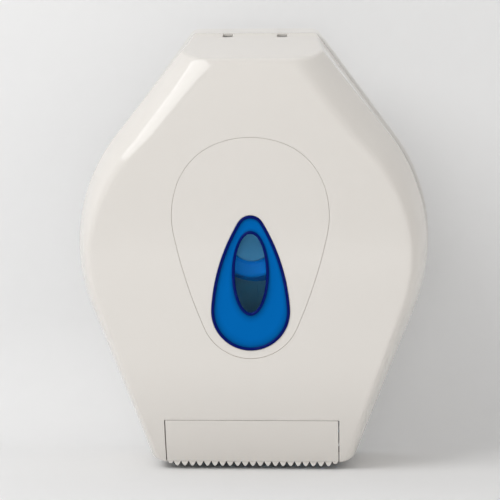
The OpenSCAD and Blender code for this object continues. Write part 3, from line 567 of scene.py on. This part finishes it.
def sight_window():
    """Up the outer rim, over the dished face, over the ellipse's rim, and home along the back."""
    face, back = DEPTH - FACE_SINK, DEPTH - WINDOW_T
    outer = rim_rows(window_line, 0.0, -RIM_W, face, DEPTH + RIM_H)
    inner = rim_rows(eye_line, RIM_W / 2, -RIM_W / 2, face, DEPTH + RIM_H - EYE_RIM_SINK)
    x, depth, z = loft([(window_line, 0.0, back)] + outer, EYE_Z)
    x2, depth2, z2 = loft(inner + [(eye_line, -RIM_W / 2, back)], EYE_Z)
    v = np.linspace(0, 1, 14)[1:-1, None]
    dish = face - DISH * np.sin(np.pi * v) ** 0.5
    blend = [a[-1] + (b[0] - a[-1]) * v for a, b in ((x, x2), (z, z2))]
    x, z = np.concatenate([x, blend[0], x2]), np.concatenate([z, blend[1], z2])
    depth = np.concatenate([depth, dish + 0 * blend[0], depth2])
    piece = make_piece("sight_window_frosted", to_frame(x, depth, z),
                       grid_faces(*x.shape, wrap_rows=True, wrap_columns=True), sharp=50)
    return outward(piece)


def window_lens():
    """A thin ellipse, domed at the front: shrinking copies of the outline that end in a point."""
    share = np.array([0, 0.15, 0.4, 0.6, 0.8, 0.92, 1.0, 1.0, 0.9, 0.5, 0])[:, None]
    rear = np.arange(len(share))[:, None] > 6
    depth = DEPTH - LENS_SINK - LENS_DOME * share**2 - np.where(rear, LENS_T, 0)
    line = eye_line(-RIM_W / 2 + 0.05)
    x, z = line[0] * share, EYE_Z + (line[1] - EYE_Z) * share
    return outward(make_piece("sight_window_lens", to_frame(x, depth, z),
                              grid_faces(*x.shape, wrap_columns=True)))


window, lens = sight_window(), window_lens()
for piece in (window, lens):
    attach(piece, "cover")
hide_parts("sight_window")

# %% [markdown]
# A round plug hides the screw of the spindle's cap, which the clear ellipse would otherwise show.
# It sits flush in the cap's recess, so it is placed from the cap's own box.

# %% The plug over the cap's screw
PLUG_R, PLUG_T = 4.35, 0.25
cap_low, cap_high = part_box("spindle_cap")
cap_face, cap_z = -cap_low[1] / MM, (cap_low[2] + cap_high[2]) / 2 / MM
disc = [(0, -PLUG_T), (PLUG_R, -PLUG_T), (PLUG_R, 0), (0, 0)]
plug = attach(turned("cap_plug", disc, (0, cap_face, cap_z)), "base")

# %% [markdown]
# The tear insert is a plate that follows the front, turns in at its foot and steps back behind
# the front wall at its head. Its side profile is carried along the width. The teeth are a wave:
# the absolute value of a sine gives round teeth with sharp notches between them.

# %% The tear insert
INSERT_HEAD, INSERT_FOOT, INSERT_T = -INSERT_TOP - PANEL_GAP, 0.4 - BOTTOM_H, 3.0
LIP_W, LIP_H, FLANGE_TOP = 7.0, 2.4, 15 - INSERT_TOP
FLANGE_OUT = float(front_at(np.array(INSERT_HEAD))) - WALL_T - 1.2
FLANGE_IN = FLANGE_OUT - 2.2
TEETH, TOOTH_MARGIN, TOOTH_H, TOOTH_T, TOOTH_EASE = 21, 6.1, 5.0, 2.0, 0.45
TOOTH_D = float(front_at(np.array(INSERT_FOOT))) - 1.2


def insert_profile():
    """Depth and height round the insert: down the front, in at the lip, up inside, up the flange."""
    z = np.linspace(INSERT_HEAD, INSERT_FOOT, 17)
    up = INSERT_FOOT + LIP_H + np.linspace(0, 0.83, 16) * (INSERT_HEAD - INSERT_FOOT)
    back = front_at(np.array(INSERT_FOOT)) - LIP_W
    depth = np.concatenate([front_at(z), [back, back], front_at(up) - INSERT_T,
                            [FLANGE_IN, FLANGE_IN, FLANGE_OUT, FLANGE_OUT]])
    height = np.concatenate([z, [INSERT_FOOT, INSERT_FOOT + LIP_H], up,
                             [INSERT_HEAD - 2.5, FLANGE_TOP, FLANGE_TOP, INSERT_HEAD]])
    return depth, height


def end_faces(sections, n):
    """One face over the first section of n points, and one over the last the other way round."""
    return [list(range(n)), [(sections - 1) * n + i for i in range(n - 1, -1, -1)]]


def tear_plate():
    """The profile at both ends of the width, its sides joined and its ends filled."""
    depth, height = insert_profile()
    x = np.linspace(-INSERT_W, INSERT_W, 25)[:, None]
    points = to_frame(x, depth, height)
    faces = grid_faces(len(x), len(depth), wrap_columns=True).tolist() + end_faces(len(x), len(depth))
    piece = bpy.data.objects.new("tear_insert_plate", bpy.data.meshes.new("tear_insert_plate"))
    piece.data.from_pydata((points.reshape(-1, 3) * MM).tolist(), [], faces)
    piece.data.polygons.foreach_set("use_smooth", np.ones(len(faces), bool))
    piece.data.set_sharp_from_angle(angle=np.radians(SHARP_ANGLE))
    bpy.context.scene.collection.objects.link(piece)
    add_bevel(outward(piece), 0.3, segments=3)
    return piece


def tooth_row(per_tooth=16):
    """Teeth along x: the tip hangs by the tooth's length times |sin|, and its edges are eased."""
    span = 2 * (INSERT_W - TOOTH_MARGIN)
    turn = np.linspace(0, TEETH, TEETH * per_tooth + 1)
    tip = INSERT_FOOT - TOOTH_H * np.abs(np.sin(np.pi * turn))
    x = span * (turn / TEETH - 0.5)
    ease, top, back = TOOTH_EASE, INSERT_FOOT + 1, TOOTH_D - TOOTH_T
    rows = [(back, top), (back, tip + ease), (back + 0.15, tip + 0.15), (back + ease, tip),
            (TOOTH_D - ease, tip), (TOOTH_D - 0.15, tip + 0.15), (TOOTH_D, tip + ease), (TOOTH_D, top)]
    depth = np.stack([0 * x + row[0] for row in rows], 1)
    height = np.stack([0 * x + row[1] for row in rows], 1)
    faces = grid_faces(len(x), len(rows), wrap_columns=True).tolist()
    faces += end_faces(len(x), len(rows))
    return outward(make_piece("teeth", to_frame(x[:, None], depth, height), faces, sharp=50))


def nubs():
    """The rounded ends past the teeth: short turned pegs."""
    r = TOOTH_MARGIN / 2 - 0.4
    peg = [(0, 0), (r - 0.5, 0), (r, 0.5), (r, TOOTH_T - 0.5), (r - 0.5, TOOTH_T), (0, TOOTH_T)]
    x = INSERT_W - TOOTH_MARGIN / 2 - 0.3
    return [turned("nub", peg, (side * x, TOOTH_D - TOOTH_T, INSERT_FOOT), sides=40) for side in (-1, 1)]


insert = join("tear_insert_toothed", [tear_plate(), tooth_row(), *nubs()])
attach(insert, "cover")
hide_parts("tear_insert")
print("insert:", len(insert.data.polygons), "faces")

# %% [markdown]
# Materials come next. Moulded plastic is never one flat colour: it has faint flow marks from the
# mould, fine specks and a slightly uneven gloss. That effect is shared by every plastic here, so
# it is a node group with named inputs, and each material sets its own amounts.

# %% Helpers for node trees
def new_group(name, inputs, outputs):
    """A shader node group. Inputs are (name, type, value) and outputs are (name, type)."""
    tree = bpy.data.node_groups.new(name, "ShaderNodeTree")
    for label, kind, value in inputs:
        socket = tree.interface.new_socket(name=label, in_out="INPUT", socket_type=kind)
        if value is not None:
            socket.default_value = value
    for label, kind in outputs:
        tree.interface.new_socket(name=label, in_out="OUTPUT", socket_type=kind)
    return tree, tree.nodes.new("NodeGroupInput"), tree.nodes.new("NodeGroupOutput")


def add(tree, kind, links=None, **settings):
    """Adds a node, sets its properties or input values, and links its inputs."""
    node = tree.nodes.new(kind)
    for key, value in settings.items():
        if key in node.inputs:
            node.inputs[key].default_value = value
        else:
            setattr(node, key, value)
    for key, source in (links or {}).items():
        tree.links.new(source, node.inputs[key])
    return node


def mix_colour(tree, factor, first, second, blend="MIX"):
    """A colour mix node, whose colour sockets are numbers 6 and 7."""
    node = tree.nodes.new("ShaderNodeMix")
    node.data_type, node.blend_type = "RGBA", blend
    for socket, value in ((0, factor), (6, first), (7, second)):
        if isinstance(value, bpy.types.NodeSocket):
            tree.links.new(value, node.inputs[socket])
        else:
            node.inputs[socket].default_value = value
    return node.outputs[2]


# %% Group: moulded plastic
FLOAT, COLOUR, VECTOR = "NodeSocketFloat", "NodeSocketColor", "NodeSocketVector"


def moulded_group():
    """Colour, roughness and height of moulded plastic from three scales of noise."""
    tree, given, result = new_group(
        "moulded plastic",
        [("Vector", VECTOR, None), ("Colour", COLOUR, (0.8, 0.8, 0.8, 1)),
         ("Tint", COLOUR, (0.7, 0.7, 0.7, 1)), ("Flow", FLOAT, 0.15), ("Speck", FLOAT, 0.1),
         ("Roughness", FLOAT, 0.3), ("Unevenness", FLOAT, 0.06), ("Grain scale", FLOAT, 900.0)],
        [("Colour", COLOUR), ("Roughness", FLOAT), ("Height", FLOAT)])
    at = {"Vector": given.outputs["Vector"]}
    flow = add(tree, "ShaderNodeTexNoise", at, Scale=9.0, Detail=3.0, Roughness=0.55, Distortion=0.6)
    speck = add(tree, "ShaderNodeTexNoise", at, Scale=1400.0, Detail=1.0)
    grain = add(tree, "ShaderNodeTexNoise", {**at, "Scale": given.outputs["Grain scale"]}, Detail=2.0)
    wave = add(tree, "ShaderNodeTexNoise", at, Scale=45.0, Detail=1.0)
    flow_mask = add(tree, "ShaderNodeMapRange", {"Value": flow.outputs["Fac"]},
                    **{"From Min": 0.35, "From Max": 0.7})
    flow_part = add(tree, "ShaderNodeMath", {0: flow_mask.outputs[0], 1: given.outputs["Flow"]},
                    operation="MULTIPLY")
    speck_mask = add(tree, "ShaderNodeMapRange", {"Value": speck.outputs["Fac"]},
                     **{"From Min": 0.62, "From Max": 0.75})
    speck_part = add(tree, "ShaderNodeMath", {0: speck_mask.outputs[0], 1: given.outputs["Speck"]},
                     operation="MULTIPLY")
    both = add(tree, "ShaderNodeMath", {0: flow_part.outputs[0], 1: speck_part.outputs[0]}, operation="ADD")
    colour = mix_colour(tree, both.outputs[0], given.outputs["Colour"], given.outputs["Tint"])
    middle = add(tree, "ShaderNodeMath", {0: wave.outputs["Fac"]}, operation="SUBTRACT")
    middle.inputs[1].default_value = 0.5
    spread = add(tree, "ShaderNodeMath", {0: middle.outputs[0], 1: given.outputs["Unevenness"]},
                 operation="MULTIPLY")
    rough = add(tree, "ShaderNodeMath", {0: spread.outputs[0], 1: given.outputs["Roughness"]},
                operation="ADD")
    tree.links.new(colour, result.inputs["Colour"])
    tree.links.new(rough.outputs[0], result.inputs["Roughness"])
    tree.links.new(grain.outputs["Fac"], result.inputs["Height"])
    return tree


MOULDED = moulded_group()
print("group made:", MOULDED.name)

# %% [markdown]
# A plastic material places that group once, sends its colour and roughness to a Principled
# shader, and its height to a very shallow bump. Low roughness gives the casing its clear gloss.

# %% Plastic and metal materials
def new_material(name):
    material = bpy.data.materials.new(name)
    material.use_nodes = True
    tree = material.node_tree
    shader = tree.nodes["Principled BSDF"]
    place = tree.nodes.new("ShaderNodeTexCoord").outputs["Object"]
    return material, tree, shader, place


def plastic(name, colour, tint, rough, flow=0.3, speck=0.1, bump=0.02, grain=900.0, uneven=0.08,
            **shader_values):
    """Moulded plastic: the shared group into colour, roughness and a shallow bump."""
    material, tree, shader, place = new_material(name)
    group = add(tree, "ShaderNodeGroup", node_tree=MOULDED)
    tree.links.new(place, group.inputs["Vector"])
    values = {"Colour": (*colour, 1), "Tint": (*tint, 1), "Flow": flow, "Speck": speck,
              "Roughness": rough, "Unevenness": uneven, "Grain scale": grain}
    for key, value in values.items():
        group.inputs[key].default_value = value
    relief = add(tree, "ShaderNodeBump", {"Height": group.outputs["Height"]},
                 Strength=bump, Distance=0.0002)
    tree.links.new(group.outputs["Colour"], shader.inputs["Base Color"])
    tree.links.new(group.outputs["Roughness"], shader.inputs["Roughness"])
    tree.links.new(relief.outputs["Normal"], shader.inputs["Normal"])
    for key, value in shader_values.items():
        shader.inputs[key.replace("_", " ")].default_value = value
    return material


def steel(name, colour, rough):
    """Plated steel: brushed lines from noise stretched along x, in colour, roughness and bump."""
    material, tree, shader, place = new_material(name)
    stretch = add(tree, "ShaderNodeMapping", {"Vector": place}, Scale=(60, 1600, 1600))
    lines = add(tree, "ShaderNodeTexNoise", {"Vector": stretch.outputs["Vector"]},
                Scale=1.0, Detail=3.0)
    cloud = add(tree, "ShaderNodeTexNoise", {"Vector": place}, Scale=120.0, Detail=2.0)
    tone = mix_colour(tree, lines.outputs["Fac"], (*colour, 1), (*[c * 0.8 for c in colour], 1))
    dull = add(tree, "ShaderNodeMapRange", {"Value": cloud.outputs["Fac"]},
               **{"To Min": rough - 0.06, "To Max": rough + 0.1})
    relief = add(tree, "ShaderNodeBump", {"Height": lines.outputs["Fac"]}, Strength=0.1, Distance=0.0001)
    tree.links.new(tone, shader.inputs["Base Color"])
    tree.links.new(dull.outputs[0], shader.inputs["Roughness"])
    tree.links.new(relief.outputs["Normal"], shader.inputs["Normal"])
    shader.inputs["Metallic"].default_value = 1.0
    return material


casing = plastic("casing gloss white", (0.76, 0.728, 0.686), (0.75, 0.716, 0.672), 0.08,
                 bump=0.005, uneven=0.02, IOR=1.5)
plate_plastic = plastic("back plate white", (0.83, 0.82, 0.80), (0.79, 0.78, 0.76), 0.42, bump=0.06)
inner_plastic = plastic("inner white", (0.70, 0.69, 0.66), (0.64, 0.63, 0.60), 0.45, bump=0.06)
latch_plastic = plastic("latch pale grey", (0.86, 0.85, 0.83), (0.80, 0.79, 0.77), 0.4, bump=0.05)
cap_plastic = plastic("spindle cap pale grey", (0.64, 0.64, 0.69), (0.60, 0.60, 0.65), 0.4, bump=0.05)
hub_plastic = plastic("hub blue", (0.0, 0.48, 1.0), (0.0, 0.44, 0.92), 0.35, bump=0.05,
                      Specular_IOR_Level=0.1)
frosted = plastic("window frosted blue", (0.0, 0.135, 0.46), (0.0, 0.125, 0.43), 0.45,
                  bump=0.15, grain=2200.0, Specular_IOR_Level=0.02)
rim_blue = plastic("window rim navy", (0.0, 0.006, 0.13), (0.0, 0.005, 0.11), 0.25, Specular_IOR_Level=0.08)
LENS_COLOUR = (0.38, 0.74, 0.95)
lens_blue = plastic("window clear blue", LENS_COLOUR, (0.37, 0.73, 0.94), 0.03,
                    bump=0.0, uneven=0.02, Transmission_Weight=1.0, IOR=1.12)


def darken_by_rims(material, share):
    """Less light reaches the frosted face beside its rims, where it is shallowest: the base colour
    is darkened by how near the surface is to the panel's front."""
    tree = material.node_tree
    colour = tree.nodes["Principled BSDF"].inputs["Base Color"]
    place = tree.nodes.new("ShaderNodeTexCoord").outputs["Object"]
    parts = add(tree, "ShaderNodeSeparateXYZ", {0: place})
    near = add(tree, "ShaderNodeMapRange", {"Value": parts.outputs["Y"]},
               **{"From Min": (FACE_SINK - DEPTH) * MM, "From Max": (DISH - DEPTH) * MM,
                  "To Min": share, "To Max": 1.0})
    grey = add(tree, "ShaderNodeCombineColor", {channel: near.outputs[0] for channel in range(3)})
    tone = mix_colour(tree, 1.0, colour.links[0].from_socket, grey.outputs[0], "MULTIPLY")
    tree.links.new(tone, colour)


darken_by_rims(frosted, 0.5)


def let_light_in(material, colour):
    """Shadow rays pass straight through, tinted, so the clear plastic doesn't darken the inside."""
    tree = material.node_tree
    clear = add(tree, "ShaderNodeBsdfTransparent", Color=(*colour, 1))
    ray = add(tree, "ShaderNodeLightPath")
    plain = tree.nodes["Principled BSDF"].outputs[0]
    choose = add(tree, "ShaderNodeMixShader",
                 {0: ray.outputs["Is Shadow Ray"], 1: plain, 2: clear.outputs[0]})
    tree.links.new(choose.outputs[0], tree.nodes["Material Output"].inputs["Surface"])


let_light_in(lens_blue, LENS_COLOUR)
# Painted shade and painted warm bounce light: the parting lines' gap walls get a dark tan in place of the
# light that reflects and scatters in the narrow gaps.
gap_painted_shade = plastic("parting line painted shade", (0.50, 0.40, 0.30), (0.46, 0.37, 0.27), 0.5, bump=0.05)
plated = steel("plated steel", (0.62, 0.63, 0.65), 0.3)

for piece in (skin, fittings, panel, insert):
    for material in (casing, gap_painted_shade):
        piece.data.materials.append(material)
for _ in range(2):
    skin.data.materials.append(casing)
for material in (frosted, rim_blue):
    window.data.materials.append(material)
lens.data.materials.append(lens_blue)
plug.data.materials.append(cap_plastic)

NODE_FINISH = {
    "back_plate": plate_plastic, "spindle": inner_plastic, "latch_housing": inner_plastic,
    "latch_slide": latch_plastic, "panel_retainer": inner_plastic, "spindle_cap": cap_plastic,
    "core_hub": hub_plastic, "hub_cap": hub_plastic}
for name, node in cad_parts.items():
    node.data.materials.clear()
    node.data.materials.append(NODE_FINISH.get(name, plated))

# %% Rims and parting lines
def face_values(piece, kind):
    """Every face's centre or normal, as rows."""
    values = np.zeros(3 * len(piece.data.polygons))
    piece.data.polygons.foreach_get(kind, values)
    return values.reshape(-1, 3)


def second_material(piece, chosen, index=1):
    """Gives the chosen faces the piece's second material, or the one at another index."""
    piece.data.polygons.foreach_set("material_index", index * chosen.astype(np.int32))
    print(piece.name, "faces in material", index, ":", int(chosen.sum()))


second_material(window, -face_values(window, "center")[:, 1] > (DEPTH - FACE_SINK / 2) * MM)
# The panel's sideways faces and the insert's side faces take the painted gap shade.
second_material(panel, np.abs(face_values(panel, "normal")[:, 1]) < 0.3)
second_material(insert, np.abs(face_values(insert, "normal")[:, 0]) > 0.95)
# The wall's open edges take the material after their face's own. Round the panel opening and the insert's
# cut that is the painted gap shade. Beside the rear edge, the key slots and the foot the faces start from
# the third, so these edges stay white.
at = face_values(skin, "center") / MM
foot = (at[:, 2] < 8 - BOTTOM_H) & (np.abs(at[:, 0]) > side_cut + 0.5)
second_material(skin, (-at[:, 1] < EDGE_D - 20) | (at[:, 2] > 183) | foot, index=2)

# %% [markdown]
# The studio is a pale floor that sweeps up behind the object into a wall, as in a packshot. A
# large soft key lights it from the upper left, weaker ones fill in from the right and from low
# in front, and a long box shows only as the highlight on the left shoulder. The sweep's back
# faces are clear, so that views from behind or below aren't blocked.

# %% The studio
FLOOR_Z, WALL_Y, SWEEP_R = -222.0, 130.0, 120.0
FLOOR_REACH, WALL_TOP, SWEEP_HALF = 4000, 3200, 3500


def sweep():
    """A floor, a quarter circle and a wall: the profile's points carried along x."""
    q = np.linspace(0, np.pi / 2, 24)
    y = np.concatenate([[-FLOOR_REACH], WALL_Y - SWEEP_R + SWEEP_R * np.sin(q), [WALL_Y]])
    z = np.concatenate([[FLOOR_Z], FLOOR_Z + SWEEP_R * (1 - np.cos(q)), [WALL_TOP]])
    x = np.array([[-SWEEP_HALF], [SWEEP_HALF]])
    points = np.stack(np.broadcast_arrays(x, y, z), -1)
    return make_piece("studio_sweep", points, grid_faces(2, len(y))[:, ::-1], sharp=180)


def one_sided(name, colour):
    """A matt paper whose back faces are clear."""
    material, tree, shader, place = new_material(name)
    fibre = add(tree, "ShaderNodeTexNoise", {"Vector": place}, Scale=60.0, Detail=4.0)
    tone = mix_colour(tree, fibre.outputs["Fac"], (*colour, 1), (*[c * 0.985 for c in colour], 1))
    tree.links.new(tone, shader.inputs["Base Color"])
    shader.inputs["Roughness"].default_value = 0.9
    shader.inputs["Specular IOR Level"].default_value = 0.1
    clear = add(tree, "ShaderNodeBsdfTransparent")
    facing = add(tree, "ShaderNodeNewGeometry")
    choose = add(tree, "ShaderNodeMixShader", {0: facing.outputs["Backfacing"], 1: shader.outputs[0],
                                               2: clear.outputs[0]})
    tree.links.new(choose.outputs[0], tree.nodes["Material Output"].inputs["Surface"])
    return material


def area_light(name, place, aim, size, power, colour=(1, 1, 1), mirrored=False):
    """A rectangular light at a place in metres, turned towards another. Its size is level width
    and height. A mirrored light only shows as a highlight, and the others only shade."""
    data = bpy.data.lights.new(name, "AREA")
    data.shape, data.energy, data.color = "RECTANGLE", power, colour
    data.size, data.size_y = size
    light = bpy.data.objects.new(name, data)
    light.visible_glossy, light.visible_diffuse = mirrored, not mirrored
    bpy.context.scene.collection.objects.link(light)
    away = np.array(place, float) - aim
    away /= np.linalg.norm(away)
    across = np.cross([0, 0, 1], away)
    across /= np.linalg.norm(across)
    columns = np.column_stack([across, np.cross(away, across), away, place])
    light.matrix_world = Matrix(np.vstack([columns, [0, 0, 0, 1]]).tolist())
    print(name, "light:", power, "W")


backdrop = sweep()
backdrop.data.materials.append(one_sided("studio paper", (0.85, 0.85, 0.85)))
area_light("key", (-1.474, -1.423, 1.601), (0, 0, 0), (1.6, 1.6), 32.4)
area_light("long box", (-0.679, -0.99, 0.989), (0, -0.99, 0), (2.19, 1.02), 19.0, mirrored=True)
area_light("fill", (1.8, -2.2, 0.6), (0, 0, 0), (1.6, 1.6), 3.8, (1.0, 0.97, 0.93))
area_light("side", (2.4, -0.9, 0.7), (0, 0, 0), (1.4, 1.4), 5.0, (1.0, 0.95, 0.88))
area_light("low", (0.0, -2.6, 0.1), (0, 0, -0.15), (0.8, 0.4), 5.0)

world = bpy.data.worlds.new("studio air")
world.use_nodes = True
air = world.node_tree.nodes["Background"]
air.inputs["Color"].default_value = (1.0, 1.0, 1.0, 1)
air.inputs["Strength"].default_value = 0.43
bpy.context.scene.world = world
bpy.context.scene.view_settings.view_transform = "Standard"
